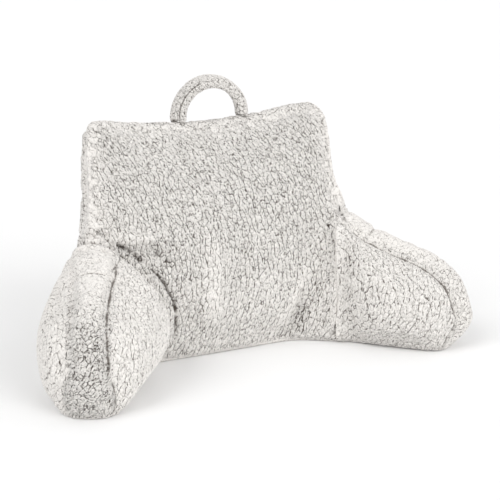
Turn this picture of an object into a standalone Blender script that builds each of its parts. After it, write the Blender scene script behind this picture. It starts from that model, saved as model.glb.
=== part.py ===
"""Reading pillow with arms: a stuffed backrest, two stuffed arms and a strap handle on top.

Lengths are metres. The pillow stands on z = 0 and faces -Y, with +X to the right as seen from
the front. In plan its chambers follow one horseshoe line: straight behind the back, round both
corners and out along the arms. A place is given by its run along that line, its height, and how
far it lies out from the line, towards the back and the outer sides.
"""
import math
from collections import namedtuple
from functools import partial

import bmesh
import bpy
import numpy as np
from mathutils import Vector

# The horseshoe line in plan
STRAIGHT_HALF = 0.111
BEND_RADIUS = 0.152
SPLAY = {-1: math.radians(25), 1: math.radians(43)}
LEAN_BACK = 0.053
LEAN_HEIGHT = 0.380
LEAN_FADE_FROM = 0.228
LEAN_FADE_OVER = 0.087

# One row for each section, from the middle of the back to the tip of an arm. The top edge's
# run and height, the base's run, half the thickness at top and base, and how far the inner
# and outer panels swell past a straight line between the two.
Section = namedtuple("Section", "run height base_run half_top half_base swell_in swell_out")
MIDDLE_SECTION = Section(0.000, 0.384, 0.000, 0.023, 0.060, 0.039, 0.019)
BACK_SECTIONS = {
    -1: (
        Section(0.114, 0.390, 0.075, 0.023, 0.060, 0.039, 0.019),
        Section(0.210, 0.404, 0.137, 0.020, 0.060, 0.033, 0.017),
        Section(0.229, 0.388, 0.160, 0.013, 0.060, 0.026, 0.014),
        Section(0.244, 0.290, 0.196, 0.012, 0.060, 0.025, 0.014),
    ),
    1: (
        Section(0.114, 0.390, 0.075, 0.023, 0.060, 0.039, 0.019),
        Section(0.219, 0.408, 0.137, 0.020, 0.060, 0.033, 0.017),
        Section(0.239, 0.394, 0.160, 0.013, 0.060, 0.026, 0.014),
        Section(0.249, 0.292, 0.196, 0.012, 0.060, 0.025, 0.014),
    ),
}
ARM_SECTIONS = {
    -1: (
        Section(0.256, 0.222, 0.240, 0.034, 0.054, 0.034, 0.008),
        Section(0.274, 0.208, 0.268, 0.041, 0.044, 0.072, 0.020),
        Section(0.300, 0.196, 0.296, 0.039, 0.040, 0.084, 0.040),
        Section(0.341, 0.177, 0.337, 0.033, 0.040, 0.073, 0.054),
        Section(0.410, 0.149, 0.400, 0.031, 0.040, 0.052, 0.045),
        Section(0.444, 0.117, 0.432, 0.033, 0.038, 0.034, 0.029),
        Section(0.460, 0.072, 0.448, 0.034, 0.032, 0.010, 0.008),
    ),
    1: (
        Section(0.267, 0.224, 0.270, 0.030, 0.054, 0.010, 0.006),
        Section(0.282, 0.210, 0.284, 0.036, 0.044, 0.024, 0.016),
        Section(0.302, 0.196, 0.304, 0.036, 0.042, 0.040, 0.036),
        Section(0.341, 0.178, 0.337, 0.034, 0.040, 0.053, 0.054),
        Section(0.414, 0.152, 0.400, 0.035, 0.040, 0.044, 0.041),
        Section(0.458, 0.117, 0.434, 0.037, 0.038, 0.029, 0.026),
        Section(0.478, 0.063, 0.449, 0.037, 0.032, 0.009, 0.008),
    ),
}
SWELL_ROUNDNESS = 0.6
LEAST_SLANT = 0.35
STRIP_DOME = 0.0165
DOME_PER_HALF = 0.55
DOME_ROUNDNESS = 0.7
BASE_DOME_SHARE = 0.5
BASE_DOME_REACH = 0.0065
END_DOME = 0.011

# Sewing: how far a seam sinks, and over what distance. A root seam joins an arm to the back,
# with a gap between the two chambers; the strips lie flatter there. A cross seam joins two
# lengths of an arm's strip, and goes on for a bit down the inner panel.
SEAM_SINK = 0.0035
SEAM_REACH = 0.007
ROOT_SINK = 0.007
ROOT_REACH = 0.013
ROOT_FLATNESS = 0.8
FLAT_REACH = 0.024
GAP = 0.0003
CROSS_SEAM = 0.052
CROSS_SINK = 0.004
CROSS_REACH = 0.009
CROSS_FADE = 3.0
EDGE_SHARE = 0.125

# Folds and puffs of the inner panels, seen from the front: a line from one place and height
# to another, how far it stands out (or sinks, if negative), and its reach to each side
Fold = namedtuple("Fold", "from_x from_height to_x to_height rise reach")
FOLDS = (
    Fold(-0.190, 0.246, -0.130, 0.236, 0.008, 0.028),  # puff over the left arm's root
    Fold(-0.180, 0.202, -0.110, 0.172, -0.007, 0.024),  # tuck under that puff
    Fold(-0.093, 0.125, -0.084, 0.060, -0.007, 0.022),
    Fold(-0.002, 0.215, -0.029, 0.100, 0.006, 0.032),
    Fold(0.036, 0.197, 0.017, 0.090, -0.006, 0.026),
    Fold(0.128, 0.045, 0.086, 0.014, -0.006, 0.022),
    Fold(0.176, 0.362, 0.200, 0.384, -0.007, 0.028),  # flat ear at the right corner
    Fold(-0.185, 0.368, -0.200, 0.384, -0.007, 0.026),  # pinch at the left corner
)

# Spacing of the mesh: along the run, up a panel and across a strip
COARSE_STEP = 0.0195
FINE_STEP = 0.0095
FINE_REACH = 0.020
PANEL_ROWS = 22
PANEL_CROWDING = 0.4
SPACING_SAMPLES = 400
SLOPE_STEP = 0.002
STRIP_ROWS = (-1.0, -0.72, -0.36, 0.0, 0.36, 0.72, 1.0)

# The handle: a flat padded strap bent to an arch, sewn to the top strip by both ends
HANDLE_MIDDLE = 0.028
HANDLE_HALF_SPAN = 0.062
HANDLE_RISE = 0.062
HANDLE_FOOT_HEIGHT = 0.400
HANDLE_BEHIND_LINE = 0.001
STRAP_WIDTH = 0.033
STRAP_THICKNESS = 0.021
STRAP_SQUARENESS = 0.65
STRAP_CREASE = 0.0025
CREASE_REACH = 0.3
STRAP_TWIST = (math.radians(-16), math.radians(-8))
STRAP_STEPS = 26
STRAP_SIDES = 20
SEAT_CLEARANCE = 0.0011
SEAT_ROUNDS = 12
STRAP_END_SHARES = (0.0, 0.35, 0.6, 0.8, 1.0)

FLEECE_COLOUR = (0.76, 0.74, 0.70, 1.0)
FLEECE_ROUGHNESS = 0.95


def smooth_curve(knots, values):
    """A function through the values that never overshoots them (monotone cubic)."""
    knots = np.asarray(knots, float)
    values = np.asarray(values, float)
    width = np.diff(knots)
    slope = np.diff(values) / width
    bend = np.zeros_like(values)
    heavy_left = 2 * width[1:] + width[:-1]
    heavy_right = width[1:] + 2 * width[:-1]
    for i in range(1, len(values) - 1):
        before, after = slope[i - 1], slope[i]
        if before * after > 0:
            left, right = heavy_left[i - 1], heavy_right[i - 1]
            bend[i] = (left + right) / (left / before + right / after)
    bend[0], bend[-1] = slope[0], slope[-1]

    def curve(at):
        i = int(np.clip(np.searchsorted(knots, at) - 1, 0, len(width) - 1))
        s = (at - knots[i]) / width[i]
        return (
            values[i] * (1 + 2 * s) * (1 - s) ** 2
            + values[i + 1] * (3 - 2 * s) * s**2
            + width[i] * (bend[i] * s * (1 - s) ** 2 - bend[i + 1] * (1 - s) * s**2)
        )

    return curve


def signed_sections():
    """All the sections from the left arm's tip to the right arm's tip, with signed runs."""
    left = [s._replace(run=-s.run, base_run=-s.base_run) for s in BACK_SECTIONS[-1] + ARM_SECTIONS[-1]]
    return left[::-1] + [MIDDLE_SECTION] + list(BACK_SECTIONS[1] + ARM_SECTIONS[1])


def station_of(sections):
    """How far along the top edge each section lies, from the middle of the back."""
    steps = [math.dist(a[:2], b[:2]) for a, b in zip(sections, sections[1:])]
    along = np.concatenate(([0.0], np.cumsum(steps)))
    return along - along[sections.index(MIDDLE_SECTION)]


SECTIONS = signed_sections()
STATIONS = station_of(SECTIONS)
ARM_COUNT = len(ARM_SECTIONS[-1])
ROOT = {-1: STATIONS[ARM_COUNT - 1], 1: STATIONS[-ARM_COUNT]}
TIP = {-1: STATIONS[0], 1: STATIONS[-1]}
CORNER = {-1: STATIONS[ARM_COUNT + 2], 1: STATIONS[-ARM_COUNT - 3]}
CURVES = [smooth_curve(STATIONS, column) for column in zip(*SECTIONS)]


def section_at(station):
    return Section(*(curve(station) for curve in CURVES))


def nearness(distance, reach):
    return math.exp(-((distance / reach) ** 2))


def arch(share):
    """0 at both ends of a panel and 1 half-way."""
    return 4 * share * (1 - share)


def edge_outward(station):
    """The direction out of the top edge, as a step in run and height."""
    before = section_at(max(station - SLOPE_STEP, TIP[-1]))
    after = section_at(min(station + SLOPE_STEP, TIP[1]))
    along = Vector((after.run - before.run, after.height - before.height)).normalized()
    return Vector((-along.y, along.x))


def place(run, height, out):
    """The point at a signed run, a height, and a distance out from the horseshoe line."""
    side = math.copysign(1, run)
    turn = math.pi / 2 - SPLAY[side]
    past = abs(run) - STRAIGHT_HALF
    angle = min(max(past / BEND_RADIUS, 0.0), turn)
    beyond = max(past - BEND_RADIUS * turn, 0.0)
    x = min(abs(run), STRAIGHT_HALF) + BEND_RADIUS * math.sin(angle) + beyond * math.cos(turn)
    y = -BEND_RADIUS * (1 - math.cos(angle)) - beyond * math.sin(turn)
    fade = min(max(1 - (abs(run) - LEAN_FADE_FROM) / LEAN_FADE_OVER, 0.0), 1.0)
    lean = LEAN_BACK * fade * fade * (3 - 2 * fade) * height / LEAN_HEIGHT
    return Vector((side * (x + out * math.sin(angle)), y + out * math.cos(angle) + lean, height))


def root_nearness(station, reach):
    """1 at a root seam, where an arm joins the back, fading to 0 away from it."""
    return max(nearness(station - ROOT[side], reach) for side in ROOT)


def strip_dome(station, across):
    """How far a strip stands out of its two seams; a narrow one stands out less."""
    tall = min(STRIP_DOME, DOME_PER_HALF * section_at(station).half_top)
    tall *= 1 - ROOT_FLATNESS * root_nearness(station, FLAT_REACH)
    return tall * (1 - across**2) ** DOME_ROUNDNESS


def cross_seam_nearness(station):
    """1 at the seam across an arm's strip, fading to 0 away from it."""
    near = 0.0
    for side in (-1, 1):
        near = max(near, nearness(station - ROOT[side] - side * CROSS_SEAM, CROSS_REACH))
    return near


def root_sink(station):
    return ROOT_SINK * root_nearness(station, ROOT_REACH)


def fold_rise(x, height):
    """How far the folds push the inner panel out at a place and height."""
    here = Vector((x, height))
    rise = 0.0
    for fold in FOLDS:
        start = Vector((fold.from_x, fold.from_height))
        line = Vector((fold.to_x, fold.to_height)) - start
        share = min(max((here - start).dot(line) / line.length_squared, 0.0), 1.0)
        rise += fold.rise * nearness((here - start - line * share).length, fold.reach)
    return rise


def wall(station, up, side):
    """A point of the inner (side -1) or outer (side 1) panel, up from 0 at the base to 1."""
    part = section_at(station)
    from_top = (1 - up) * part.height
    sunk = root_sink(station) + SEAM_SINK * nearness(from_top, SEAM_REACH)
    inward = edge_outward(station) * -sunk * up
    run = part.base_run + (part.run - part.base_run) * up + inward.x
    height = part.height * up + inward.y
    swell = part.swell_in if side < 0 else part.swell_out
    half = part.half_base + (part.half_top - part.half_base) * up
    ruling = Vector((part.run - part.base_run, part.height)).normalized()
    slant = LEAST_SLANT + (1 - LEAST_SLANT) * abs(ruling.dot(edge_outward(station)))
    down = (1 - up) * (slant + (1 - slant) * (1 - up))
    out = half + swell * arch(down) ** SWELL_ROUNDNESS - sunk
    if side < 0:
        from_edge = min(1.0, up / EDGE_SHARE, (1 - up) / EDGE_SHARE)
        crease = CROSS_SINK * cross_seam_nearness(station) * max(0.0, 1 - CROSS_FADE * (1 - up))
        out += (fold_rise(place(run, height, -out).x, height) - crease) * from_edge
    return place(run, height, side * out)


def strip(station, across):
    """A point of the strip over the top and sides, across from -1 inside to 1 outside."""
    part = section_at(station)
    from_seam = (1 - abs(across)) * part.half_top
    sunk = root_sink(station) + SEAM_SINK * nearness(from_seam, SEAM_REACH)
    dome = strip_dome(station, across)
    dome -= CROSS_SINK * cross_seam_nearness(station) * (1 - across**4)
    shift = edge_outward(station) * (dome - sunk)
    half = part.half_top - root_sink(station) - SEAM_SINK
    return place(part.run + shift.x, part.height + shift.y, across * half)


def base(station, across):
    """A point of the flat base panel, which bows out a little at the arms' tips."""
    part = section_at(station)
    side = math.copysign(1, station)
    dome = strip_dome(station, across) * BASE_DOME_SHARE
    run = part.base_run + side * dome * nearness(station - TIP[side], BASE_DOME_REACH)
    return place(run, 0.0, across * (part.half_base - root_sink(station)))


def end(station, up, across):
    """A point of the face that closes a chamber at a station, stretched between its edges."""
    inside = wall(station, up, -1)
    outside = wall(station, up, 1)
    low = base(station, across)
    high = strip(station, across)
    share = (across + 1) / 2
    corners = (base(station, -1) * (1 - share) + base(station, 1) * share) * (1 - up)
    corners += (strip(station, -1) * (1 - share) + strip(station, 1) * share) * up
    face = inside * (1 - share) + outside * share + low * (1 - up) + high * up - corners
    if station in TIP.values():
        face += outward_at_tip(station) * END_DOME * arch(up) * (1 - across**2)
    return face


def outward_at_tip(station):
    """The level direction in which an arm points at its tip."""
    before = station - math.copysign(SLOPE_STEP, station)
    along = place(section_at(station).run, 0, 0) - place(section_at(before).run, 0, 0)
    along.z = 0
    return along.normalized()


def panel_rows():
    steps = np.linspace(0, 1, PANEL_ROWS + 1)
    crowded = (1 - np.cos(math.pi * steps)) / 2
    return steps * (1 - PANEL_CROWDING) + crowded * PANEL_CROWDING


def spaced_stations(start, stop, fine_at):
    """Stations from start to stop, closer together near those in fine_at."""
    samples = np.linspace(start, stop, SPACING_SAMPLES)
    near = np.max([np.exp(-(((samples - at) / FINE_REACH) ** 2)) for at in fine_at], axis=0)
    per_metre = (1 - near) / COARSE_STEP + near / FINE_STEP
    counted = np.cumsum(per_metre) * (samples[1] - samples[0])
    counted -= counted[0]
    steps = round(counted[-1])
    return np.interp(np.linspace(0, counted[-1], steps + 1), counted, samples)


def lay_panel(bm, columns, rows, shape):
    """Cuts a panel as a flat grid and lays its points at shape(column, row).

    Its squares lean outwards on both sides of the pillow, so each is split along its short way.
    """
    panel = bmesh.ops.create_grid(
        bm, x_segments=len(columns) - 1, y_segments=len(rows) - 1, size=1
    )
    for vert in panel["verts"]:
        column = round((vert.co.x + 1) / 2 * (len(columns) - 1))
        row = round((vert.co.y + 1) / 2 * (len(rows) - 1))
        vert.co = shape(columns[column], rows[row])
    squares = dict.fromkeys(face for vert in panel["verts"] for face in vert.link_faces)
    on_left = [square for square in squares if square.calc_center_median().x < 0]
    on_right = [square for square in squares if square not in on_left]
    bmesh.ops.triangulate(bm, faces=on_left, quad_method="ALTERNATE")
    bmesh.ops.triangulate(bm, faces=on_right, quad_method="FIXED")


def sew(bm):
    """Joins panels along the edges where they meet, and turns every face outwards."""
    bmesh.ops.remove_doubles(bm, verts=bm.verts, dist=1e-6)
    bmesh.ops.recalc_face_normals(bm, faces=bm.faces)


def add_piece(name, bm, material):
    mesh = bpy.data.meshes.new(name)
    bm.to_mesh(mesh)
    bm.free()
    mesh.materials.append(material)
    mesh.shade_smooth()
    piece = bpy.data.objects.new(name, mesh)
    bpy.context.scene.collection.objects.link(piece)
    return piece


def seam_step(station, onward):
    """Half the gap at a root seam, onward (1) or back (-1) along the run; none at a tip."""
    along = Vector()
    if station in ROOT.values():
        for side in (-1, 1):
            along += wall(station + SLOPE_STEP, 0.5, side) - wall(station - SLOPE_STEP, 0.5, side)
    along.z = 0
    return along.normalized() * onward * GAP / 2


def make_chamber(name, start, stop, fine_at, material):
    """A stuffed chamber between two stations, closed by an end face at each."""
    stations = spaced_stations(start, stop, fine_at)
    rows = panel_rows()
    steps = {start: seam_step(start, 1), stop: seam_step(stop, -1)}

    def parted(shape):
        return lambda station, row: shape(station, row) + steps.get(station, Vector())

    bm = bmesh.new()
    lay_panel(bm, stations, rows, parted(partial(wall, side=-1)))
    lay_panel(bm, stations, rows, parted(partial(wall, side=1)))
    lay_panel(bm, stations, STRIP_ROWS, parted(strip))
    lay_panel(bm, stations, STRIP_ROWS, parted(base))
    for at in (start, stop):
        close = parted(lambda station, row: end(station, *row))
        lay_panel(bm, rows, STRIP_ROWS, lambda *row: close(at, row))
    sew(bm)
    return add_piece(name, bm, material)


def top_height(x, y):
    """The height of the top strip over a point of the plan, near the middle of the back."""
    height = HANDLE_FOOT_HEIGHT
    for _ in range(SEAT_ROUNDS):
        out = y - LEAN_BACK * height / LEAN_HEIGHT
        across = min(max(out / (section_at(x).half_top - SEAM_SINK), -1.0), 1.0)
        height = strip(x, across).z
    return height


def strap_point(along, around, share=1.0):
    """A point of the strap: along from 0 to 1 over its arch, around from 0 to 1 its section."""
    bow = math.pi * along
    centre = Vector((
        HANDLE_MIDDLE - HANDLE_HALF_SPAN * math.cos(bow),
        HANDLE_BEHIND_LINE + LEAN_BACK * HANDLE_FOOT_HEIGHT / LEAN_HEIGHT,
        HANDLE_FOOT_HEIGHT + HANDLE_RISE * math.sin(bow),
    ))
    tangent = Vector((HANDLE_HALF_SPAN * math.sin(bow), 0, HANDLE_RISE * math.cos(bow)))
    broad = Vector((0, 1, 0))
    thick = tangent.normalized().cross(broad)
    twist = STRAP_TWIST[0] + (STRAP_TWIST[1] - STRAP_TWIST[0]) * along
    broad, thick = (
        broad * math.cos(twist) - thick * math.sin(twist),
        broad * math.sin(twist) + thick * math.cos(twist),
    )
    turn = 2 * math.pi * around
    across = math.copysign(abs(math.cos(turn)) ** STRAP_SQUARENESS, math.cos(turn))
    through = math.copysign(abs(math.sin(turn)) ** STRAP_SQUARENESS, math.sin(turn))
    crease = STRAP_CREASE * nearness(turn - math.pi, CREASE_REACH)
    out = broad * (across * STRAP_WIDTH / 2 + crease) + thick * through * STRAP_THICKNESS / 2
    return centre + out * share


def strap_end(along, around, share):
    """A point of the strap's sewn end, which lies on the top strip; share 0 is its middle."""
    point = strap_point(along, around, share)
    point.z = top_height(point.x, point.y) + SEAT_CLEARANCE
    return point


def make_handle(material):
    """The strap's section carried along its arch, and closed by an end at each foot."""
    arch = [(along, 1.0) for along in np.linspace(0, 1, STRAP_STEPS + 1)[1:-1]]
    foot = [(0.0, share) for share in STRAP_END_SHARES]
    rings = foot + arch + [(1.0, share) for share in reversed(STRAP_END_SHARES)]
    around = np.arange(STRAP_SIDES + 1) / STRAP_SIDES

    def shape(ring, turn):
        along, share = ring
        bend = strap_end if along in (0.0, 1.0) else strap_point
        return bend(along, turn % 1.0, share)

    bm = bmesh.new()
    lay_panel(bm, rings, around, shape)
    sew(bm)
    return add_piece("handle", bm, material)


def make_fleece():
    material = bpy.data.materials.new("cream_fleece")
    material.use_nodes = True
    shader = material.node_tree.nodes["Principled BSDF"]
    shader.inputs["Base Color"].default_value = FLEECE_COLOUR
    shader.inputs["Roughness"].default_value = FLEECE_ROUGHNESS
    shader.inputs["Metallic"].default_value = 0.0
    return material


def centre_on_floor(pieces):
    """Moves the pieces together so that the origin lies under the middle of the whole."""
    corners = np.array([tuple(vert.co) for piece in pieces for vert in piece.data.vertices])
    middle = (corners.min(axis=0) + corners.max(axis=0)) / 2
    for piece in pieces:
        piece.location = (-middle[0], -middle[1], 0.0)


def main():
    for thing in list(bpy.data.objects):
        bpy.data.objects.remove(thing)
    fleece = make_fleece()
    close_at_back = list(ROOT.values()) + list(CORNER.values())
    close_at_arm = {side: (ROOT[side], ROOT[side] + side * CROSS_SEAM, TIP[side]) for side in ROOT}
    pieces = [
        make_chamber("backrest", ROOT[-1], ROOT[1], close_at_back, fleece),
        make_chamber("arm_left", TIP[-1], ROOT[-1], close_at_arm[-1], fleece),
        make_chamber("arm_right", ROOT[1], TIP[1], close_at_arm[1], fleece),
        make_handle(fleece),
    ]
    centre_on_floor(pieces)


main()
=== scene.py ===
import math
from collections import namedtuple

import bmesh
import bpy
import numpy as np
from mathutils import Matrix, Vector, kdtree, noise
from mathutils.bvhtree import BVHTree


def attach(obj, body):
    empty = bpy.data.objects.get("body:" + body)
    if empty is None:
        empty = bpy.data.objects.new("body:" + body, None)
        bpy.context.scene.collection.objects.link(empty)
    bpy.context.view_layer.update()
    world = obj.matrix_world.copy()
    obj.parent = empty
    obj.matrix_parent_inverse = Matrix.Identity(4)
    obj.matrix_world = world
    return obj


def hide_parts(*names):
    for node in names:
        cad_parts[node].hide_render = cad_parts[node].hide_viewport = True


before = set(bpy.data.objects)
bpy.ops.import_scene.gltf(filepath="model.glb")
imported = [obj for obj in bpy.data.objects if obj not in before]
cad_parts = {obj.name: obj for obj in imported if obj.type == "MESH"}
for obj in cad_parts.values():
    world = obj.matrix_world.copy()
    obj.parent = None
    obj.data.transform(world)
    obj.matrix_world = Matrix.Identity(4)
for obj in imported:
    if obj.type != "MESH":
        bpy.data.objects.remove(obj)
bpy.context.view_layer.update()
print("solids loaded:", ", ".join(sorted(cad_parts)))


# In plan the pillow follows one horseshoe line. A place on it is a run along that line, a
# height and a distance out from it. The sections are the ones that the solids are made from,
# and they tell where each panel and seam runs.
Section = namedtuple("Section", "run height baseRun halfTop halfBase swellIn swellOut")
horseshoe = {
    "middle": (0.02014, -0.09111),  # the pillow's middle, seen from the middle of the line
    "straightHalf": 0.111,
    "bendRadius": 0.152,
    "splay": {-1: math.radians(25), 1: math.radians(43)},
    "leanBack": 0.053,
    "leanHeight": 0.380,
    "leanFadeFrom": 0.228,
    "leanFadeOver": 0.087,
    "swellRoundness": 0.6,
    "leastSlant": 0.35,
    "stripDome": 0.0165,
    "domePerHalf": 0.55,
    "domeRoundness": 0.7,
    "endDome": 0.011,
    "crossSeam": {-1: 0.073, 1: 0.050},  # from an arm's root to the seam across its strip
    "back": Section(0.000, 0.384, 0.000, 0.023, 0.060, 0.039, 0.019),
    "side": {
        -1: (
            Section(0.114, 0.390, 0.075, 0.023, 0.060, 0.039, 0.019),
            Section(0.210, 0.404, 0.137, 0.020, 0.060, 0.033, 0.017),
            Section(0.229, 0.388, 0.160, 0.013, 0.060, 0.026, 0.014),
            Section(0.244, 0.290, 0.196, 0.012, 0.060, 0.025, 0.014),
            Section(0.256, 0.222, 0.240, 0.034, 0.054, 0.034, 0.008),
            Section(0.274, 0.208, 0.268, 0.041, 0.044, 0.072, 0.020),
            Section(0.300, 0.196, 0.296, 0.039, 0.040, 0.084, 0.040),
            Section(0.341, 0.177, 0.337, 0.033, 0.040, 0.073, 0.054),
            Section(0.410, 0.149, 0.400, 0.031, 0.040, 0.052, 0.045),
            Section(0.444, 0.117, 0.432, 0.033, 0.038, 0.034, 0.029),
            Section(0.460, 0.072, 0.448, 0.034, 0.032, 0.010, 0.008),
        ),
        1: (
            Section(0.114, 0.390, 0.075, 0.023, 0.060, 0.039, 0.019),
            Section(0.219, 0.408, 0.137, 0.020, 0.060, 0.033, 0.017),
            Section(0.239, 0.394, 0.160, 0.013, 0.060, 0.026, 0.014),
            Section(0.249, 0.292, 0.196, 0.012, 0.060, 0.025, 0.014),
            Section(0.267, 0.224, 0.270, 0.030, 0.054, 0.010, 0.006),
            Section(0.282, 0.210, 0.284, 0.036, 0.044, 0.024, 0.016),
            Section(0.302, 0.196, 0.304, 0.036, 0.042, 0.040, 0.036),
            Section(0.341, 0.178, 0.337, 0.034, 0.040, 0.053, 0.054),
            Section(0.414, 0.152, 0.400, 0.035, 0.040, 0.044, 0.041),
            Section(0.458, 0.117, 0.434, 0.037, 0.038, 0.029, 0.026),
            Section(0.478, 0.063, 0.449, 0.037, 0.032, 0.009, 0.008),
        ),
    },
    "rootRow": 4,  # the section where an arm is sewn to the back
}


def smoothCurve(knots, values):
    # monotone cubic through the values
    width = np.diff(knots)
    slope = np.diff(values) / width
    bend = np.zeros_like(values)
    for i in range(1, len(values) - 1):
        before, after = slope[i - 1], slope[i]
        if before * after > 0:
            left = 2 * width[i] + width[i - 1]
            right = width[i] + 2 * width[i - 1]
            bend[i] = (left + right) / (left / before + right / after)
    bend[0], bend[-1] = slope[0], slope[-1]

    def curve(at):
        i = int(np.clip(np.searchsorted(knots, at) - 1, 0, len(width) - 1))
        s = (at - knots[i]) / width[i]
        ends = values[i] * (1 + 2 * s) * (1 - s) ** 2 + values[i + 1] * (3 - 2 * s) * s**2
        return ends + width[i] * (bend[i] * s * (1 - s) ** 2 - bend[i + 1] * (1 - s) * s**2)

    return curve


def makeStations():
    left = [s._replace(run=-s.run, baseRun=-s.baseRun) for s in horseshoe["side"][-1]]
    rows = left[::-1] + [horseshoe["back"]] + list(horseshoe["side"][1])
    steps = [math.dist(a[:2], b[:2]) for a, b in zip(rows, rows[1:])]
    along = np.concatenate(([0.0], np.cumsum(steps)))
    along -= along[len(left)]
    curves = [smoothCurve(along, np.array(column)) for column in zip(*rows)]
    fromEnd = len(left) - 1 - horseshoe["rootRow"]
    roots = {-1: along[fromEnd], 1: along[-1 - fromEnd]}
    return curves, roots, {-1: along[0], 1: along[-1]}


sectionCurves, rootAt, tipAt = makeStations()


def sectionAt(station):
    return Section(*(curve(station) for curve in sectionCurves))


def edgeOutward(station, step=0.002):
    before = sectionAt(max(station - step, tipAt[-1]))
    after = sectionAt(min(station + step, tipAt[1]))
    along = Vector((after.run - before.run, after.height - before.height)).normalized()
    return Vector((-along.y, along.x))


def place(run, height, out):
    side = math.copysign(1, run)
    turn = math.pi / 2 - horseshoe["splay"][side]
    radius = horseshoe["bendRadius"]
    past = abs(run) - horseshoe["straightHalf"]
    angle = min(max(past / radius, 0.0), turn)
    beyond = max(past - radius * turn, 0.0)
    x = min(abs(run), horseshoe["straightHalf"]) + radius * math.sin(angle) + beyond * math.cos(turn)
    y = -radius * (1 - math.cos(angle)) - beyond * math.sin(turn)
    fade = min(max(1 - (abs(run) - horseshoe["leanFadeFrom"]) / horseshoe["leanFadeOver"], 0), 1)
    lean = horseshoe["leanBack"] * fade * fade * (3 - 2 * fade) * height / horseshoe["leanHeight"]
    x = side * (x + out * math.sin(angle))
    y = y + out * math.cos(angle) + lean
    return Vector((x - horseshoe["middle"][0], y - horseshoe["middle"][1], height))


def wall(station, up, side):
    part = sectionAt(station)
    swell = part.swellIn if side < 0 else part.swellOut
    half = part.halfBase + (part.halfTop - part.halfBase) * up
    ruling = Vector((part.run - part.baseRun, part.height)).normalized()
    least = horseshoe["leastSlant"]
    slant = least + (1 - least) * abs(ruling.dot(edgeOutward(station)))
    down = (1 - up) * (slant + (1 - slant) * (1 - up))
    out = half + swell * (4 * down * (1 - down)) ** horseshoe["swellRoundness"]
    return place(part.baseRun + (part.run - part.baseRun) * up, part.height * up, side * out)


def strip(station, across):
    part = sectionAt(station)
    tall = min(horseshoe["stripDome"], horseshoe["domePerHalf"] * part.halfTop)
    shift = edgeOutward(station) * tall * (1 - across**2) ** horseshoe["domeRoundness"]
    return place(part.run + shift.x, part.height + shift.y, across * part.halfTop)


def base(station, across):
    part = sectionAt(station)
    return place(part.baseRun, 0.0, across * part.halfBase)


def endFace(side, up, across):
    station = tipAt[side]
    share = (across + 1) / 2
    flat = wall(station, up, -1) * (1 - share) + wall(station, up, 1) * share
    out = edgeOutward(station)
    onward = place(sectionAt(station).run + side * 0.01, 0, 0) - place(sectionAt(station).run, 0, 0)
    bulge = horseshoe["endDome"] * 4 * up * (1 - up) * (1 - across**2)
    return flat + onward.normalized() * bulge + Vector((0, 0, max(out.y, 0) * bulge * up))


# A point of a fine mesh belongs to the panel of the nearest of many known points.
panelNames = ("front", "rear", "strip", "base", "armInner", "armOuter", "armStrip", "armEnd")
knownGrid = {
    "stations": 240,
    "up": 34,
    "upEnd": 20,
    "across": 9,
    "lowest": 0.02,
    "rootUp": 70,
    "rootIn": 36,
}


def panelPoints():
    found = []
    lowest = knownGrid["lowest"]
    acrossSteps = np.linspace(-1, 1, knownGrid["across"])
    for station in np.linspace(tipAt[-1], tipAt[1], knownGrid["stations"]):
        onArm = station < rootAt[-1] or station > rootAt[1]
        for up in np.linspace(lowest, 1, knownGrid["up"]):
            found.append((wall(station, up, -1), "armInner" if onArm else "front"))
            found.append((wall(station, up, 1), "armOuter" if onArm else "rear"))
        for across in acrossSteps:
            found.append((strip(station, across), "armStrip" if onArm else "strip"))
            found.append((base(station, across), "base"))
    for side in (-1, 1):
        for up in np.linspace(lowest, 1, knownGrid["upEnd"]):
            for across in acrossSteps:
                found.append((endFace(side, up, across), "armEnd"))
    return found


# each seam: how deep and wide its groove is, how much shade is painted along it, how much it puckers the
# cloth and how much shorter the pile is on it
seamKinds = {
    "backFront": {"depth": 0.0012, "reach": 0.0060, "shade": 0.10, "pucker": 0.0008, "smooth": 0.0},
    "backRear": {"depth": 0.0022, "reach": 0.0040, "shade": 0.15, "pucker": 0.0010, "smooth": 0.0},
    "armInner": {"depth": 0.0028, "reach": 0.0019, "shade": 1.00, "pucker": 0.0010, "smooth": 0.0},
    "armOuter": {"depth": 0.0014, "reach": 0.0026, "shade": 0.40, "pucker": 0.0009, "smooth": 0.0},
    "rootLeft": {"depth": 0.0040, "reach": 0.0045, "shade": 0.70, "pucker": 0.0012, "smooth": 0.0},
    "rootRight": {"depth": 0.0000, "reach": 0.0080, "shade": 0.00, "pucker": 0.0000, "smooth": 0.55},
    "cross": {"depth": 0.0032, "reach": 0.0032, "shade": 0.72, "pucker": 0.0008, "smooth": 0.0},
    "base": {"depth": 0.0018, "reach": 0.0060, "shade": 0.60, "pucker": 0.0006, "smooth": 0.0},
}
rootNames = {-1: "rootLeft", 1: "rootRight"}
closedRoot = {  # the root whose groove is filled: the cloth runs over it
    "side": 1,
    "rise": 0.0112,
    "riseBelow": 0.0125,
    "belowHeights": (0.03, 0.07),  # the rise changes between each pair of heights
    "riseOnTop": {"backrest": 0.0115, "arm_right": 0.0085},
    "topHeights": (0.18, 0.21),
    "reach": 0.0135,
    "meet": 0.0065,  # how far each rim reaches over the seam
    "deepest": 0.03,  # cloth that lies deeper under the seam stays
    "leastLevel": 0.35,
}
baseFade = 0.012  # seams and folds fade out over this height above the base
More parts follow.
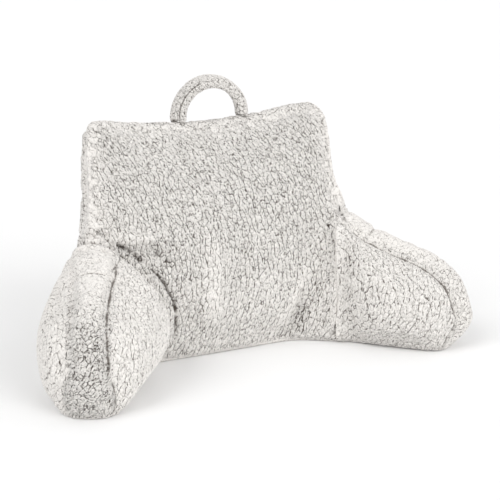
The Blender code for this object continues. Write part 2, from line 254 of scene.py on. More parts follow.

# folds of the cloth, each a line on the pillow's surface; one that stands up has a negative depth,
# "shade" paints soft shade on the pile around it, the crease's key paints a thin dark line of shade along
# it and "smooth" shortens the pile
folds = {
    "backrest": (
        {  # the pinch behind the left arm
            "path": ((-0.249, 0.045, 0.244), (-0.238, 0.047, 0.236), (-0.229, 0.047, 0.229)),
            "depth": 0.0045,
            "reach": 0.0050,
            "shade": 0.50,
            "creaseShade": 0.3,
        },
        {  # the deep crease where the left arm pushes into the back
            "path": ((-0.219, 0.044, 0.220), (-0.194, 0.048, 0.202), (-0.165, 0.042, 0.178)),
            "depth": 0.0065,
            "reach": 0.0036,
            "shade": 0.35,
            "creaseShade": 1.0,
        },
        {
            "path": (
                (-0.165, 0.042, 0.178),
                (-0.142, 0.034, 0.152),
                (-0.130, 0.030, 0.131),
                (-0.121, 0.028, 0.111),
                (-0.117, 0.026, 0.089),
                (-0.120, 0.023, 0.062),
                (-0.124, 0.021, 0.038),
            ),
            "depth": 0.0065,
            "reach": 0.0045,
            "shade": 0.55,
            "creaseShade": 1.0,
        },
        {  # the hollow under the bulge
            "path": ((-0.160, 0.042, 0.206), (-0.138, 0.041, 0.188), (-0.119, 0.037, 0.167)),
            "depth": 0.0050,
            "reach": 0.0075,
            "shade": 0.75,
        },
        {
            "path": ((-0.121, 0.036, 0.160), (-0.109, 0.029, 0.116), (-0.101, 0.026, 0.086)),
            "depth": 0.0030,
            "reach": 0.0045,
            "shade": 0.35,
        },
        {  # the bulge over the left arm
            "path": ((-0.220, 0.043, 0.226), (-0.180, 0.046, 0.222), (-0.147, 0.040, 0.221)),
            "depth": -0.0050,
            "reach": 0.0120,
            "shade": 0.0,
            "smooth": 0.5,
        },
        {  # soft upright folds in the lower half
            "path": ((-0.038, 0.034, 0.205), (-0.045, 0.020, 0.130), (-0.052, 0.018, 0.060)),
            "depth": -0.0035,
            "reach": 0.0170,
            "shade": 0.0,
            "smooth": 0.4,
        },
        {
            "path": ((0.022, 0.039, 0.185), (0.016, 0.024, 0.110), (0.004, 0.020, 0.050)),
            "depth": 0.0030,
            "reach": 0.0110,
            "shade": 0.06,
        },
        {
            "path": ((-0.080, 0.035, 0.190), (-0.086, 0.022, 0.110), (-0.094, 0.022, 0.055)),
            "depth": 0.0025,
            "reach": 0.0090,
            "shade": 0.05,
        },
        {  # where the lower right part turns under
            "path": (
                (0.168, 0.018, 0.125),
                (0.148, 0.018, 0.085),
                (0.125, 0.022, 0.048),
                (0.104, 0.024, 0.024),
                (0.080, 0.027, 0.007),
            ),
            "depth": 0.0055,
            "reach": 0.0130,
            "shade": 0.40,
        },
        {  # and the lit fold beside it
            "path": ((0.140, 0.020, 0.140), (0.110, 0.018, 0.080), (0.076, 0.022, 0.030)),
            "depth": -0.0045,
            "reach": 0.0090,
            "shade": 0.0,
            "smooth": 0.45,
        },
        {  # the pinched top left corner
            "path": ((-0.216, 0.102, 0.399), (-0.204, 0.105, 0.400), (-0.204, 0.092, 0.386)),
            "depth": 0.0040,
            "reach": 0.0050,
            "shade": 0.40,
        },
    ),
    "arm_left": (
        {
            "path": (
                (-0.258, -0.046, 0.186),
                (-0.236, -0.048, 0.182),
                (-0.222, -0.058, 0.175),
                (-0.202, -0.065, 0.159),
                (-0.188, -0.075, 0.133),
            ),
            "depth": 0.0025,
            "reach": 0.0060,
            "shade": 0.15,
        },
        {  # the upper end of the strip's inner seam
            "path": (
                (-0.208, 0.025, 0.206),
                (-0.222, 0.008, 0.204),
                (-0.235, -0.008, 0.199),
                (-0.250, -0.030, 0.193),
            ),
            "depth": 0.0018,
            "reach": 0.0026,
            "shade": 0.10,
            "creaseShade": 1.1,
        },
    ),
    "arm_right": (),
}
rightRidge = {  # the soft ridge over the right root, on both of the pieces that meet there
    "path": (
        (0.197, 0.000, 0.187),
        (0.192, -0.009, 0.142),
        (0.190, -0.009, 0.107),
        (0.185, -0.006, 0.077),
        (0.179, -0.008, 0.045),
        (0.176, -0.010, 0.012),
    ),
    "depth": -0.0045,
    "reach": 0.0090,
    "shade": 0.0,
    "smooth": 0.35,
}
folds["backrest"] += (rightRidge,)
folds["arm_right"] += (rightRidge,)


def seamLines(every=0.0015, fewest=20):
    lines = []

    def run(name, line, start, stop, unit=1.0):
        # unit: how many metres the line is long for each step of 1 in what it is called with
        steps = max(int(abs(stop - start) * unit / every), fewest)
        lines.append((name, [line(at) for at in np.linspace(start, stop, steps)]))

    for side, back, arm in ((-1, "backFront", "armInner"), (1, "backRear", "armOuter")):
        run(back, lambda at: strip(at, side), rootAt[-1], rootAt[1])
        run("base", lambda at: wall(at, 0, side), tipAt[-1], tipAt[1])
        for end, name in rootNames.items():
            run(arm, lambda at: strip(at, side), rootAt[end], tipAt[end])
            run(arm, lambda up: wall(tipAt[end], up, side), 0, 1, 0.1)
            run(name, lambda up: wall(rootAt[end], up, side), 0, 1, 0.3)
    for end, name in rootNames.items():
        crossing = rootAt[end] + end * horseshoe["crossSeam"][end]
        run(name, lambda across: strip(rootAt[end], across), -1, 1, 0.05)
        run("cross", lambda across: strip(crossing, across), -1, 1, 0.05)
    return lines


def rootFacePoints():
    # the two faces where an arm and the back are sewn to each other
    found = []
    for root in rootAt.values():
        for up in np.linspace(0, 1, knownGrid["rootUp"]):
            inner, outer = wall(root, up, -1), wall(root, up, 1)
            found += [inner.lerp(outer, share) for share in np.linspace(0, 1, knownGrid["rootIn"])]
    return found


def treeOf(points):
    tree = kdtree.KDTree(len(points))
    for i, point in enumerate(points):
        tree.insert(point, i)
    tree.balance()
    return tree


knownPoints = panelPoints()
panelTree = treeOf([point for point, name in knownPoints])
panelIndex = [panelNames.index(name) for point, name in knownPoints]
allSeams = seamLines()
seamTrees = {}
for kind in seamKinds:
    seamTrees[kind] = treeOf([p for name, line in allSeams if name == kind for p in line])
rootFaceTree = treeOf(rootFacePoints())
print("panels and seams laid out:", len(knownPoints), "points")


# Node trees are written as Python expressions, for shaders and for geometry alike.
class Wire:
    # one output socket; an operator on it adds a Math node
    def __init__(self, sheet, socket):
        self.sheet = sheet
        self.socket = socket

    def __add__(self, other):
        return self.sheet.math("ADD", self, other)

    def __radd__(self, other):
        return self.sheet.math("ADD", other, self)

    def __sub__(self, other):
        return self.sheet.math("SUBTRACT", self, other)

    def __rsub__(self, other):
        return self.sheet.math("SUBTRACT", other, self)

    def __mul__(self, other):
        return self.sheet.math("MULTIPLY", self, other)

    def __rmul__(self, other):
        return self.sheet.math("MULTIPLY", other, self)


class NodeSheet:
    def __init__(self, tree):
        self.tree = tree

    def node(self, kind, settings=None, inputs=None, output=0):
        made = self.tree.nodes.new(kind)
        for key, value in (settings or {}).items():
            setattr(made, key, value)
        for key, value in (inputs or {}).items():
            if isinstance(value, Wire):
                self.tree.links.new(value.socket, made.inputs[key])
            else:
                made.inputs[key].default_value = value
        return Wire(self, made.outputs[output])

    def math(self, operation, first, second):
        return self.node("ShaderNodeMath", {"operation": operation}, {0: first, 1: second})

    def vector(self, operation, *inputs):
        given = dict(enumerate(inputs))
        return self.node("ShaderNodeVectorMath", {"operation": operation}, given)

    def climb(self, value, reach):
        # straight from 0 to 1 as value goes from 0 to reach
        return self.node("ShaderNodeMapRange", None, {"Value": value, "From Max": reach})

    def ramp(self, value, low, high, toLow=0.0, toHigh=1.0):
        # a smooth step from toLow to toHigh as value goes from low to high
        return self.node(
            "ShaderNodeMapRange",
            {"interpolation_type": "SMOOTHSTEP"},
            {"Value": value, "From Min": low, "From Max": high, "To Min": toLow, "To Max": toHigh},
        )

    def tall(self, z):
        # the vector (1, 1, z)
        return self.node("ShaderNodeCombineXYZ", None, {"X": 1.0, "Y": 1.0, "Z": z})

    def blend(self, share, first, second):
        # plain numbers: first at 0, second at 1
        return (1 - share) * first + share * second

    def noise(self, at, scale, detail=2.0, roughness=0.5, output="Fac"):
        return self.node(
            "ShaderNodeTexNoise",
            {"noise_dimensions": "3D"},
            {"Vector": at, "Scale": scale, "Detail": detail, "Roughness": roughness},
            output,
        )

    def cellEdge(self, at, size):
        # how far a place lies from the edge of its cell, in cell sizes
        return self.node(
            "ShaderNodeTexVoronoi",
            {"voronoi_dimensions": "3D", "feature": "DISTANCE_TO_EDGE"},
            {"Vector": at, "Scale": 1 / size, "Randomness": fleece["disorder"]},
            "Distance",
        )


# The fleece has curls with crevices between them, and mesh and material share their pattern.
fleece = {
    "clump": 0.0088,  # breadth of a clump of curls
    "clumpOnFront": 0.0086,
    "disorder": 0.85,
    "hanging": ("front", "armInner", "armOuter"),  # on these panels the clumps hang long
    "stretchOnFront": (1.0, 1.0, 0.46),
    "leanOnFront": math.radians(5),
    "strokeWidth": 0.0008,  # of the strokes of painted shade between hanging clumps
    "strokeGain": 1.35,
    "strokeLeast": 0.2,
    "bow": 1.3,  # the rows of curls bow sideways, most at the top and the bottom
    "bowMiddle": 0.20,
    "wander": 0.0034,  # how far the pattern wanders off its grid
    "wanderSize": 0.016,
    "lump": 0.0044,  # the curls within a clump
    "lumpStretch": 0.62,
    "clumpEdge": 0.28,  # width of the round rim of a clump and of a curl
    "lumpEdge": 0.30,
    "clumpShare": 0.62,
    "lumpShare": 0.38,
    "agapeSize": 0.0070,  # patches where the crevices between clumps stand open
    "agape": (0.36, 0.56, 0.25, 1.0),
    "partedSize": 0.0085,  # and those between curls
    "parted": (0.40, 0.60, 0.10, 1.0),
    "leastOpen": 0.2,  # elsewhere they are this deep
    "creviceElse": 0.085,  # widths of the crevices, in cell sizes
    "creviceFront": 0.07,
    "lumpCrevice": 0.13,
    # how much shade is painted in the strokes, around the clumps and between the curls
    "strokeShade": 2.0,
    "aroundShade": 0.25,
    "lumpShade": 0.36,
    "middleWidth": 0.35,
    "rise": 0.0040,  # height of the curls over their crevices
    "zeroHeight": 0.72,  # the height that stays on the sewn shape
}


def domed(sheet, edge, reach):
    # steep by the crevice and round on top
    short = 1 - sheet.climb(edge, reach)
    return 1 - short * short


def curlField(sheet, at, onFront):
    # height of the curls, how much shade is painted on a place in the crevices, and how far it lies in a
    # clump's middle
    drift = sheet.noise(at, 1 / fleece["wanderSize"], detail=3.0, roughness=0.6, output="Color")
    drift = sheet.vector("SUBTRACT", drift, (0.5, 0.5, 0.5))
    bent = sheet.vector("MULTIPLY_ADD", drift, (fleece["wander"] * 2,) * 3, at)
    turned = sheet.node(
        "ShaderNodeVectorRotate",
        {"rotation_type": "Y_AXIS"},
        {"Vector": bent, "Angle": fleece["leanOnFront"]},
    )
    hung = sheet.vector("MULTIPLY", turned, fleece["stretchOnFront"])
    edgeFront = sheet.cellEdge(hung, fleece["clumpOnFront"])
    edgeElse = sheet.cellEdge(bent, fleece["clump"])
    edge = sheet.blend(onFront, edgeElse, edgeFront)
    aside = fleece["strokeWidth"]
    beside = 0
    for step in (-aside, aside):
        moved = sheet.vector("ADD", hung, (step, 0, 0))
        beside = beside + sheet.cellEdge(moved, fleece["clumpOnFront"])
    steep = fleece["strokeGain"] * fleece["clumpOnFront"] / aside
    upright = (beside * 0.5 - edgeFront) * steep - fleece["strokeLeast"]
    lumpsAt = sheet.vector("MULTIPLY", turned, sheet.tall(sheet.blend(onFront, 1.0, fleece["lumpStretch"])))
    lumps = sheet.cellEdge(lumpsAt, fleece["lump"])
    agape = sheet.ramp(sheet.noise(at, 1 / fleece["agapeSize"], detail=2.0), *fleece["agape"])
    parted = sheet.ramp(sheet.noise(at, 1 / fleece["partedSize"], detail=1.0), *fleece["parted"])
    opened = fleece["leastOpen"] + (1 - fleece["leastOpen"]) * agape
    betweenClumps = (1 - domed(sheet, edge, fleece["clumpEdge"])) * opened
    betweenLumps = 1 - domed(sheet, lumps, fleece["lumpEdge"])
    height = 1 - betweenClumps * fleece["clumpShare"] - betweenLumps * fleece["lumpShare"]
    # painted shade in the crevices: thin lines between clumps off the front, upright strokes and rings
    # around clumps on the front, and the crevices between curls
    level = 1 - sheet.climb(edgeElse, fleece["creviceElse"])
    around = (1 - sheet.climb(edgeFront, fleece["creviceFront"])) * fleece["aroundShade"]
    strokes = sheet.climb(upright, 1.0) + around
    gap = sheet.blend(onFront, level, strokes * fleece["strokeShade"]) * agape
    gap = gap + (1 - sheet.climb(lumps, fleece["lumpCrevice"])) * parted * fleece["lumpShade"]
    return height, gap, sheet.climb(edge, fleece["middleWidth"])


def curlModifier():
    group = bpy.data.node_groups.new("raiseCurls", "GeometryNodeTree")
    group.interface.new_socket("Geometry", in_out="INPUT", socket_type="NodeSocketGeometry")
    group.interface.new_socket("Geometry", in_out="OUTPUT", socket_type="NodeSocketGeometry")
    sheet = NodeSheet(group)
    given = group.nodes.new("NodeGroupInput")
    result = group.nodes.new("NodeGroupOutput")

    def stored(name, kind):
        return sheet.node("GeometryNodeInputNamedAttribute", {"data_type": kind}, {"Name": name})

    at = stored("curlAt", "FLOAT_VECTOR")
    height = curlField(sheet, at, stored("onFront", "FLOAT"))[0]
    lift = (height - fleece["zeroHeight"]) * stored("pile", "FLOAT") * fleece["rise"]
    normal = sheet.node("GeometryNodeInputNormal")
    offset = sheet.node("ShaderNodeVectorMath", {"operation": "SCALE"}, {0: normal, "Scale": lift})
    moved = sheet.node(
        "GeometryNodeSetPosition",
        None,
        {"Geometry": Wire(sheet, given.outputs[0]), "Offset": offset},
    )
    group.links.new(moved.socket, result.inputs[0])
    return group


wool = {  # how the material shows the curls, and the shade and light it paints on them
    "grainSize": 0.0031,
    "grainTall": 0.75,
    "flecks": (0.42, 0.60),  # the grain's light part
    "fibreShade": (0.36, 0.52),  # and its dark part, painted shade between the fibres
    "gapDark": 1.8,  # painted shade in a crevice
    "gapFleck": 1.2,  # and what a fleck takes from it
    "fibreShadeDark": 0.44,
    # a clump's middle is darkened this much, so that its rim shows as a painted highlight
    "rimHighlight": 0.10,
    # this much is taken off the painted shade everywhere
    "shadeOffset": 0.13,
    "foldDeepens": 1.2,
    # painted shade: panels with shorter pile, such as the strips and the arms' sides, are darkened by this
    # much for their tone
    "shortPileShade": 0.16,
    "seamBreak": 1.6,  # the grain breaks the painted lines of shade along seams and creases
    "seamEdge": (0.38, 0.85),
    # how dark the painted shade along seams and fold creases is
    "seamShadeDark": 0.72,
    # painted shade on the pile around folds
    "foldShadeDark": 0.12,
    "toneSize": 0.045,
    "toneRange": 0.06,
    "light": (0.938, 0.908, 0.872, 1.0),
    # the colour that full painted shade, and the darker random tone, turn the fleece towards
    "deep": (0.080, 0.062, 0.048, 1.0),
    "relief": 0.75,  # share of the curls' height that the bump repeats
    "fleckHeight": 0.0012,
    "bump": 0.8,
    "roughness": 0.95,
    "sheen": 0.30,
    "sheenRoughness": 0.5,
    "specular": 0.2,
}


def fleeceMaterial():
    material = bpy.data.materials.new("creamFleece")
    material.use_nodes = True
    tree = material.node_tree
    shader = tree.nodes["Principled BSDF"]
    sheet = NodeSheet(tree)

    def stored(name, output):
        return sheet.node("ShaderNodeAttribute", {"attribute_name": name}, None, output)

    at = stored("curlAt", "Vector")
    onFront = stored("onFront", "Fac")
    pile = stored("pile", "Fac")
    seamShade = stored("seamShade", "Fac")
    foldShade = stored("foldShade", "Fac")
    height, gap, middle = curlField(sheet, at, onFront)
    grainAt = sheet.vector("MULTIPLY", at, sheet.tall(wool["grainTall"]))
    grain = sheet.noise(grainAt, 1 / wool["grainSize"], detail=3.0, roughness=0.7)
    flecks = sheet.ramp(grain, *wool["flecks"])
    fibreShade = 1 - sheet.ramp(grain, *wool["fibreShade"])
    tone = sheet.noise(at, 1 / wool["toneSize"], detail=2.0)
    # painted shade and highlight in the colour: crevices, the spaces between fibres, seams and folds darken
    # it, panels with shorter pile are darkened too, and a clump's middle a little so that its rim shows as
    # a painted highlight; the tone noise is the fleece's own uneven colour
    paintedShade = gap * (wool["gapDark"] - flecks * wool["gapFleck"]) + fibreShade * wool["fibreShadeDark"]
    paintedShade = paintedShade + middle * wool["rimHighlight"] - wool["shadeOffset"]
    seams = sheet.ramp(seamShade + (grain - 0.5) * wool["seamBreak"], *wool["seamEdge"])
    dark = paintedShade * pile * (1 + foldShade * wool["foldDeepens"]) + (1 - pile) * wool["shortPileShade"]
    dark = dark + seams * wool["seamShadeDark"] + foldShade * wool["foldShadeDark"]
    dark = dark + (tone - 0.5) * wool["toneRange"]
    colour = sheet.node(
        "ShaderNodeMix",
        {"data_type": "RGBA"},
        {"Factor": dark, 6: wool["light"], 7: wool["deep"]},  # 6 and 7 are its colour inputs
        2,
    )
    relief = (height * fleece["rise"] * wool["relief"] + flecks * wool["fleckHeight"]) * pile
    bump = sheet.node("ShaderNodeBump", None, {"Height": relief, "Distance": 1.0, "Strength": wool["bump"]})
    tree.links.new(colour.socket, shader.inputs["Base Color"])
    tree.links.new(bump.socket, shader.inputs["Normal"])
    shader.inputs["Roughness"].default_value = wool["roughness"]
    shader.inputs["Sheen Weight"].default_value = wool["sheen"]
    shader.inputs["Sheen Roughness"].default_value = wool["sheenRoughness"]
    shader.inputs["Specular IOR Level"].default_value = wool["specular"]
    return material


creamFleece = fleeceMaterial()
raiseCurls = curlModifier()
print("fleece material ready")


# Each chamber gets an even mesh, is stuffed, and then its seams and folds are sewn in.
cushions = {
    "backrest": {
        "voxel": 0.0041,
        "fine": ("front", "strip"),  # the panels that get a finer mesh
        "shrink": 0.0025,
        "cap": 0.008,
        "pressure": 4.0,
        "fill": 0.65,
        "pile": {},
    },
    "arm_left": {
        "voxel": 0.0030,
        "fine": ("armInner", "armOuter", "armStrip", "armEnd"),
        "shrink": 0.0025,
        "cap": 0.007,
        "pressure": 4.0,
        "fill": 0.7,
        "pile": {},
    },
}
cushions["arm_right"] = {**cushions["arm_left"], "pile": {"armInner": 0.70, "armTip": 0.6}}
stuffing = {
    "frames": 20,
    "slack": -0.02,  # the cloth is a little larger than the shape that it is sewn to
    "smoothing": 6,
    "smoothingFine": 3,
    "pinReach": 0.006,
    "baseHeight": 0.004,  # what lies lower is held on the base
    "quality": 4,
    "mass": 0.25,
    "tension": 18,
    "compression": 12,
    "shear": 8,
    "bending": 1.2,
}


def nodeCopy(node, name):
    bm = bmesh.new()
    bm.from_mesh(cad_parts[node].data)
    bmesh.ops.remove_doubles(bm, verts=bm.verts, dist=1e-5)
    mesh = bpy.data.meshes.new(name)
    bm.to_mesh(mesh)
    bm.free()
    piece = bpy.data.objects.new(name, mesh)
    bpy.context.scene.collection.objects.link(piece)
    return piece


def applyModifiers(piece):
    bpy.context.view_layer.update()
    graph = bpy.context.evaluated_depsgraph_get()
    seen = piece.evaluated_get(graph)
    made = bpy.data.meshes.new_from_object(seen, preserve_all_data_layers=True, depsgraph=graph)
    piece.modifiers.clear()
    old = piece.data
    piece.data = made
    bpy.data.meshes.remove(old)


def remesh(piece, voxel):
    step = piece.modifiers.new("evenMesh", "REMESH")
    step.mode = "VOXEL"
    step.voxel_size = voxel
    applyModifiers(piece)


def points(piece):
    co = np.empty(len(piece.data.vertices) * 3, np.float32)
    piece.data.vertices.foreach_get("co", co)
    return co.reshape(-1, 3)


def normals(piece):
    co = np.empty(len(piece.data.vertices) * 3, np.float32)
    piece.data.vertices.foreach_get("normal", co)
    return co.reshape(-1, 3)


def setPoints(piece, co):
    piece.data.vertices.foreach_set("co", np.ascontiguousarray(co, np.float32).ravel())
    piece.data.update()


def smooth(piece, rounds):
    step = piece.modifiers.new("ease", "SMOOTH")
    step.factor = 0.5
    step.iterations = rounds
    applyModifiers(piece)


def seamDistance(co, out, kind, deepest=0.015):
    # measured along the surface, so that a rounded edge still finds its seam
    tree = seamTrees[kind]
    found = np.array([tree.find(p)[0] for p in co])
    step = found - co
    height = np.einsum("ij,ij->i", step, out)
    along = np.linalg.norm(step - out * height[:, None], axis=1)
    return np.where(np.abs(height) < deepest, along, 1.0)


def inflate(piece, how):
    # cloth with air pressure in it, held at its seams and base
    co = points(piece)
    out = normals(piece)
    pinned = [kind for kind in seamKinds if kind != rootNames[closedRoot["side"]]]
    near = np.minimum.reduce([seamDistance(co, out, kind) for kind in pinned])
    pins = piece.vertex_groups.new(name="sewn")
    held = np.clip(1.4 - near / stuffing["pinReach"], 0, 1)  # wholly up to 0.4 of the reach
    held[co[:, 2] < stuffing["baseHeight"]] = 1
    for i in np.nonzero(held > 0)[0]:
        pins.add([int(i)], float(held[i]), "REPLACE")
    step = piece.modifiers.new("stuffing", "CLOTH")
    cloth = step.settings
    cloth.quality = stuffing["quality"]
    cloth.mass = stuffing["mass"]
    cloth.tension_stiffness = stuffing["tension"]
    cloth.compression_stiffness = stuffing["compression"]
    cloth.shear_stiffness = stuffing["shear"]
    cloth.bending_stiffness = stuffing["bending"]
    cloth.shrink_min = stuffing["slack"]
    cloth.use_pressure = True
    cloth.uniform_pressure_force = how["pressure"]
    cloth.effector_weights.gravity = 0
    cloth.vertex_group_mass = "sewn"
    cloth.pin_stiffness = 1
    step.collision_settings.use_collision = False
    step.point_cache.frame_end = stuffing["frames"]
    for number in range(1, stuffing["frames"] + 1):
        bpy.context.scene.frame_set(number)
    seen = piece.evaluated_get(bpy.context.evaluated_depsgraph_get())
    moved = np.empty(len(co) * 3, np.float32)
    seen.data.vertices.foreach_get("co", moved)
    shift = moved.reshape(-1, 3) - co
    far = np.linalg.norm(shift, axis=1)
    shift *= (np.minimum(far, how["cap"]) / np.maximum(far, 1e-9))[:, None]
    piece.modifiers.clear()
    piece.vertex_groups.clear()
    setPoints(piece, co + shift)
    bpy.context.scene.frame_set(1)
    average, most = (round(float(value) * 1000, 1) for value in (far.mean(), far.max()))
    print("  the stuffing moved it by", average, "mm, at most", most)


def ripple(co, size):
    return np.array([noise.noise(Vector(p) / size) for p in co])


sewing = {
    "wobble": 0.016,  # size of the waves along a seam or fold
    "stray": 0.0008,  # how far it strays with them
    "uneven": 0.25,  # how much its depth changes with them
    "gathers": 0.008,
    "gatherReach": 2.6,
    # painted shade along a fold's crease: an even part, and a part that changes with the gathers
    "creaseShadeDark": 0.95,
    "creaseShadeUneven": 0.7,
    "bald": 0.7,  # how much shorter the pile is where shade is painted along a seam
    "rimLift": 0.0016,
    "foldStep": 0.0015,
    "foldSwell": 8,  # a fold reaches its full depth soon after its end
    "foldEnd": 0.15,
    "rootClear": 0.0015,
    "rootFade": 0.006,
}


def foldCloth(piece, fold):
    # how far each point is from the fold, and how much of the fold's depth it gets
    seen = BVHTree.FromObject(piece, bpy.context.evaluated_depsgraph_get())
    line = [Vector(p) for p in fold["path"]]
    length = sum((b - a).length for a, b in zip(line, line[1:]))
    found, fade, run = [], [], 0.0
    for a, b in zip(line, line[1:]):
        steps = max(int((b - a).length / sewing["foldStep"]), 2)
        for i in range(steps):
            share = (run + (b - a).length * i / steps) / length
            found.append(seen.find_nearest(a.lerp(b, i / steps))[0])
            fade.append(min(1.0, sewing["foldSwell"] * share * (1 - share) + sewing["foldEnd"]))
        run += (b - a).length
    tree = treeOf(found)
    hits = [tree.find(p) for p in points(piece)]
    away = np.array([hit[2] for hit in hits])
    return away, np.array([fade[hit[1]] for hit in hits])


def sew(piece, node):
    # draws every seam and fold in, with the little gathers beside each seam, and gives back the shade
    # painted along them and how much shorter the pile is
    co = points(piece)
    out = normals(piece)
    sunk = np.zeros(len(co))
    shade = np.zeros(len(co))
    bald = np.ones(len(co))
    wobble = ripple(co, sewing["wobble"])
    gathers = ripple(co, sewing["gathers"])
    stray = sewing["stray"] * wobble
    creaseShadeDark = sewing["creaseShadeDark"] + sewing["creaseShadeUneven"] * gathers
    for kind, seam in seamKinds.items():
        away = seamDistance(co, out, kind) + stray
        near = np.exp(-((away / seam["reach"]) ** 2))
        wide = np.exp(-((away / (sewing["gatherReach"] * seam["reach"])) ** 2))
        sunk = np.maximum(sunk, seam["depth"] * near * (1 + sewing["uneven"] * wobble))
        sunk = sunk - seam["pucker"] * gathers * wide
        shade = np.maximum(shade, near**2 * seam["shade"])
        bald *= 1 - seam["smooth"] * near
    soft = np.zeros(len(co))
    bald *= 1 - sewing["bald"] * np.clip(shade, 0, 1)
    for fold in folds[node]:
        away, fade = foldCloth(piece, fold)
        near = np.exp(-(((away + stray) / fold["reach"]) ** 2)) * fade
        sunk += fold["depth"] * near
        # painted shade: a dark line along the fold's crease, and soft shade on the pile around it
        shade = np.maximum(shade, near**2 * fold.get("creaseShade", 0) * creaseShadeDark)
        soft = np.maximum(soft, near * fold["shade"])
        bald *= 1 - fold.get("smooth", 0) * near
    free = offRoot(co)
    sunk *= np.clip(co[:, 2] / baseFade, 0, 1) * free
    sunk -= sewing["rimLift"] * (1 - free)
    sewn = co - out * sunk[:, None] + closeRoot(co, out, node)
    sewn[:, 2] = np.maximum(sewn[:, 2], 0)
    setPoints(piece, sewn)
    return shade, soft, bald


def between(co, heights):
    # from 0 at and below the first height to 1 at and above the second
    low, high = heights
    return np.clip((co[:, 2] - low) / (high - low), 0, 1)


def closeRoot(co, out, node):
    # lifts both rims of a root seam that the cloth runs over without a groove
    side = closedRoot["side"]
    run = sectionAt(rootAt[side]).run
    along = np.array((place(run + 0.01, 0, 0) - place(run - 0.01, 0, 0)).normalized())
    facing = out @ along
    level = out - facing[:, None] * along
    level /= np.maximum(np.linalg.norm(level, axis=1), closedRoot["leastLevel"])[:, None]
    away = seamDistance(co, out, rootNames[side], closedRoot["deepest"])
    near = np.exp(-((away / closedRoot["reach"]) ** 2))
    rim = near * (1 - np.abs(facing) ** 4)
    onTop = closedRoot["riseOnTop"].get(node, 0)
    rise = closedRoot["rise"] + (onTop - closedRoot["rise"]) * between(co, closedRoot["topHeights"])
    rise += (closedRoot["riseBelow"] - rise) * (1 - between(co, closedRoot["belowHeights"]))
    lifted = level * (rise * near)[:, None]
    lifted += along * (rim * closedRoot["meet"] * (side if node == "backrest" else -side))[:, None]
    return lifted * np.clip(co[:, 2] / baseFade, 0, 1)[:, None]


def panelsOf(co):
    return np.array([panelIndex[panelTree.find(p)[1]] for p in co])


def storeFleece(piece, shade, soft, bald, pileOf):
    # what the material and the curls read at each point
    co = points(piece)
    panels = panelsOf(co)

    def on(*names):
        return np.isin(panels, [panelNames.index(name) for name in names])

    hanging = on(*fleece["hanging"]).astype(np.float32)
    pile = np.array([pileOf[name] for name in panelNames], np.float32)[panels]
    low = 1 - between(co, pileHeights["tip"])
    pile = np.where(on("armStrip", "armEnd"), pile + (pileOf["armTip"] - pile) * low, pile)
    pile = np.where(on("armOuter"), pile * (1 + pileChanges["outerLow"] * low), pile)
    upper = between(co, pileHeights["front"])
    frontShare = pileChanges["frontLow"] + pileChanges["frontRise"] * upper
    pile = np.where(on("front"), pile * frontShare, pile)
    high = between(co, pileHeights["stripTop"])
    pile = np.where(on("strip"), pile + (pileOf["stripTop"] - pile) * high, pile)
    edge = np.minimum(*(seamDistance(co, normals(piece), kind) for kind in ("backFront", "backRear")))
    atEdge = pileChanges["atEdge"] * np.exp(-((edge / pileChanges["edgeReach"]) ** 2))
    pile = pile * between(co, pileHeights["base"]) * bald * (1 - atEdge)
    storeValues(piece.data, hanging, pile, np.clip(shade, 0, 1), np.clip(soft, 0, 1))
    storeCurlAt(piece.data, co)


def storeValues(mesh, *columns):
    for name, values in zip(("onFront", "pile", "seamShade", "foldShade"), columns):
        layer = mesh.attributes.new(name, "FLOAT", "POINT")
        layer.data.foreach_set("value", np.ascontiguousarray(values, np.float32))


def storeCurlAt(mesh, co, fine=1.0):
    # the curls hang in curved rows, so the places where their pattern is read are bent sideways
    bent = co * fine
    bent[:, 0] += fleece["bow"] * (co[:, 2] - fleece["bowMiddle"]) ** 2
    layer = mesh.attributes.new("curlAt", "FLOAT_VECTOR", "POINT")
    layer.data.foreach_set("vector", np.ascontiguousarray(bent, np.float32).ravel())


# how deep and open the curls are on each panel
pileOnPanels = {
    "front": 1.0,
    "rear": 0.9,
    "strip": 0.42,
    "stripTop": 0.75,
    "base": 0.15,
    "armInner": 0.58,
    "armOuter": 0.40,
    "armStrip": 0.35,
    "armEnd": 0.8,
    "armTip": 1.12,
}
pileChanges = {
    "outerLow": 0.3,  # more of it low on an arm's outer side
    "frontLow": 0.88,  # and less of it low on the front
    "frontRise": 0.21,
    "atEdge": 0.3,  # less of it beside the boxed edge's seams
    "edgeReach": 0.014,
}
pileHeights = {  # between these heights it changes
    "base": (0.0, 0.004),
    "front": (0.10, 0.22),
    "tip": (0.13, 0.18),
    "stripTop": (0.365, 0.385),
}


def finishPiece(piece, node):
    grow = piece.modifiers.new("curls", "NODES")
    grow.node_group = raiseCurls
    applyModifiers(piece)
    piece.data.shade_smooth()
    piece.data.materials.clear()
    piece.data.materials.append(creamFleece)
    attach(piece, "root")
    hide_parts(node)


def finer(piece, names):
    # splits the squares of the named panels in four
    wanted = [panelNames.index(name) for name in names]
    inside = np.isin(panelsOf(points(piece)), wanted)
    bm = bmesh.new()
    bm.from_mesh(piece.data)
    edges = [e for e in bm.edges if inside[e.verts[0].index] and inside[e.verts[1].index]]
    bmesh.ops.subdivide_edges(bm, edges=edges, cuts=1, use_grid_fill=True)
    bm.to_mesh(piece.data)
    bm.free()
    piece.data.update()
    smooth(piece, stuffing["smoothingFine"])


def offRoot(co):
    # 0 on the faces that are sewn together, 1 a little way from them
    away = np.array([rootFaceTree.find(p)[2] for p in co])
    return np.clip((away - sewing["rootClear"]) / sewing["rootFade"], 0, 1)


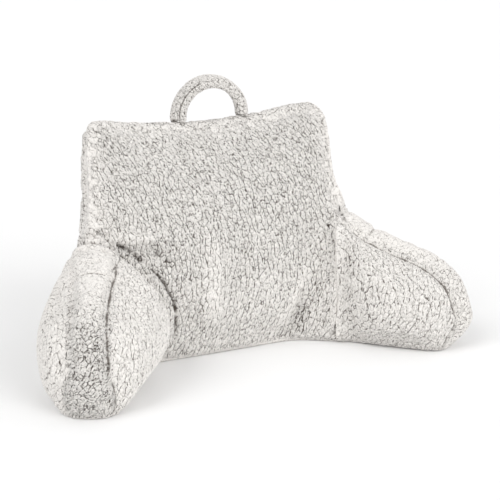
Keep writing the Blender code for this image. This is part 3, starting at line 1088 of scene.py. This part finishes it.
def makeCushion(node, how):
    name = node + "_cushion"
    piece = nodeCopy(node, name)
    remesh(piece, how["voxel"])
    smooth(piece, stuffing["smoothing"])
    co = points(piece)
    less = how["shrink"] * offRoot(co) * (co[:, 2] > stuffing["baseHeight"])
    setPoints(piece, co - normals(piece) * less[:, None])
    inflate(piece, how)
    finer(piece, how["fine"])
    storeFleece(piece, *sew(piece, node), {**pileOnPanels, **how["pile"]})
    finishPiece(piece, node)
    print("stuffed", name, "with", triangles(piece), "triangles")


def triangles(piece):
    piece.data.calc_loop_triangles()
    return len(piece.data.loop_triangles)


for node, how in cushions.items():
    makeCushion(node, how)


# The handle is a padded strap, sewn down by both ends.
handle = {
    "voxel": 0.0024,
    "smoothing": 4,
    "pile": 0.66,
    "fine": 1.1,  # its curls are smaller
    "fill": 0.8,
    "middle": (0.0074, 0.400),  # of its arch, in x and z
    "foldRadius": 0.0660,
    "foldWidth": 0.0022,
    "foldDepth": 0.0022,
    "foldFade": 0.02,
    "foldShade": 0.8,
}


def makeHandle():
    piece = nodeCopy("handle", "handle_strap")
    remesh(piece, handle["voxel"])
    smooth(piece, handle["smoothing"])
    step = piece.modifiers.new("finer", "SUBSURF")
    step.levels = 1
    step.render_levels = 1
    applyModifiers(piece)
    co = points(piece)
    out = normals(piece)
    radius = np.hypot(co[:, 0] - handle["middle"][0], co[:, 2] - handle["middle"][1])
    near = np.exp(-(((radius - handle["foldRadius"]) / handle["foldWidth"]) ** 2))
    facing = np.clip(-out[:, 1] * 2 - 0.4, 0, 1)  # the fold shows on its front, and on the left
    near *= facing * np.clip(-co[:, 0] / handle["foldFade"], 0, 1)
    setPoints(piece, co - out * (near * handle["foldDepth"])[:, None])
    flat = np.zeros(len(co))
    storeValues(piece.data, flat, flat + handle["pile"], near * handle["foldShade"], flat)
    storeCurlAt(piece.data, co, handle["fine"])
    finishPiece(piece, "handle")
    print("made handle_strap with", triangles(piece), "triangles")


makeHandle()


studio = {
    "floor": (0.93, 0.93, 0.93, 1.0),
    "floorRadius": 14,
    "floorRoughness": 0.9,
    "floorSpecular": 0.1,
    "air": (1.0, 1.0, 1.0, 1.0),
    "airStrength": 0.62,
    "left": {"from": (-0.80, -0.25, 0.75), "softness": 40, "strength": 1.08},
    "right": {"from": (0.85, -0.30, 0.45), "softness": 50, "strength": 0.36},
    "front": {"from": (0.28, -0.80, 0.45), "softness": 40, "strength": 1.13},
    "top": {"from": (0.10, 0.45, 0.90), "softness": 60, "strength": 0.15},
}
view = {
    "azimuth": -26.67,
    "elevation": 15.44,
    "distance": 2.277,
    "target": (0.00396, -0.01656, 0.19519),
    "lens": 96.29,
    "farthest": 50,
}


def makeFloor():
    bm = bmesh.new()
    bmesh.ops.create_circle(bm, cap_ends=True, segments=64, radius=studio["floorRadius"])
    mesh = bpy.data.meshes.new("floor")
    bm.to_mesh(mesh)
    bm.free()
    floor = bpy.data.objects.new("floor", mesh)
    bpy.context.scene.collection.objects.link(floor)
    paint = bpy.data.materials.new("paleFloor")
    paint.use_nodes = True
    shader = paint.node_tree.nodes["Principled BSDF"]
    shader.inputs["Base Color"].default_value = studio["floor"]
    shader.inputs["Roughness"].default_value = studio["floorRoughness"]
    shader.inputs["Specular IOR Level"].default_value = studio["floorSpecular"]
    floor.data.materials.append(paint)


def makeLight(name, how):
    light = bpy.data.lights.new(name, "SUN")
    light.angle = math.radians(how["softness"])
    light.energy = how["strength"]
    lamp = bpy.data.objects.new(name, light)
    bpy.context.scene.collection.objects.link(lamp)
    lamp.location = how["from"]
    lamp.rotation_euler = (-Vector(how["from"])).to_track_quat("-Z", "Y").to_euler()


def makeCamera():
    data = bpy.data.cameras.new("camera")
    data.lens = view["lens"]
    data.clip_end = view["farthest"]
    camera = bpy.data.objects.new("camera", data)
    bpy.context.scene.collection.objects.link(camera)
    turn, lift = math.radians(view["azimuth"]), math.radians(view["elevation"])
    back = Vector((math.sin(turn) * math.cos(lift), -math.cos(turn) * math.cos(lift), math.sin(lift)))
    camera.location = Vector(view["target"]) + back * view["distance"]
    camera.rotation_euler = (-back).to_track_quat("-Z", "Y").to_euler()
    bpy.context.scene.camera = camera


makeFloor()
for name in ("left", "right", "front", "top"):
    makeLight(name, studio[name])
makeCamera()
air = bpy.data.worlds.new("air")
air.use_nodes = True
air.node_tree.nodes["Background"].inputs["Color"].default_value = studio["air"]
air.node_tree.nodes["Background"].inputs["Strength"].default_value = studio["airStrength"]
bpy.context.scene.world = air
bpy.context.scene.view_settings.view_transform = "Standard"
print("floor, lights and camera set")
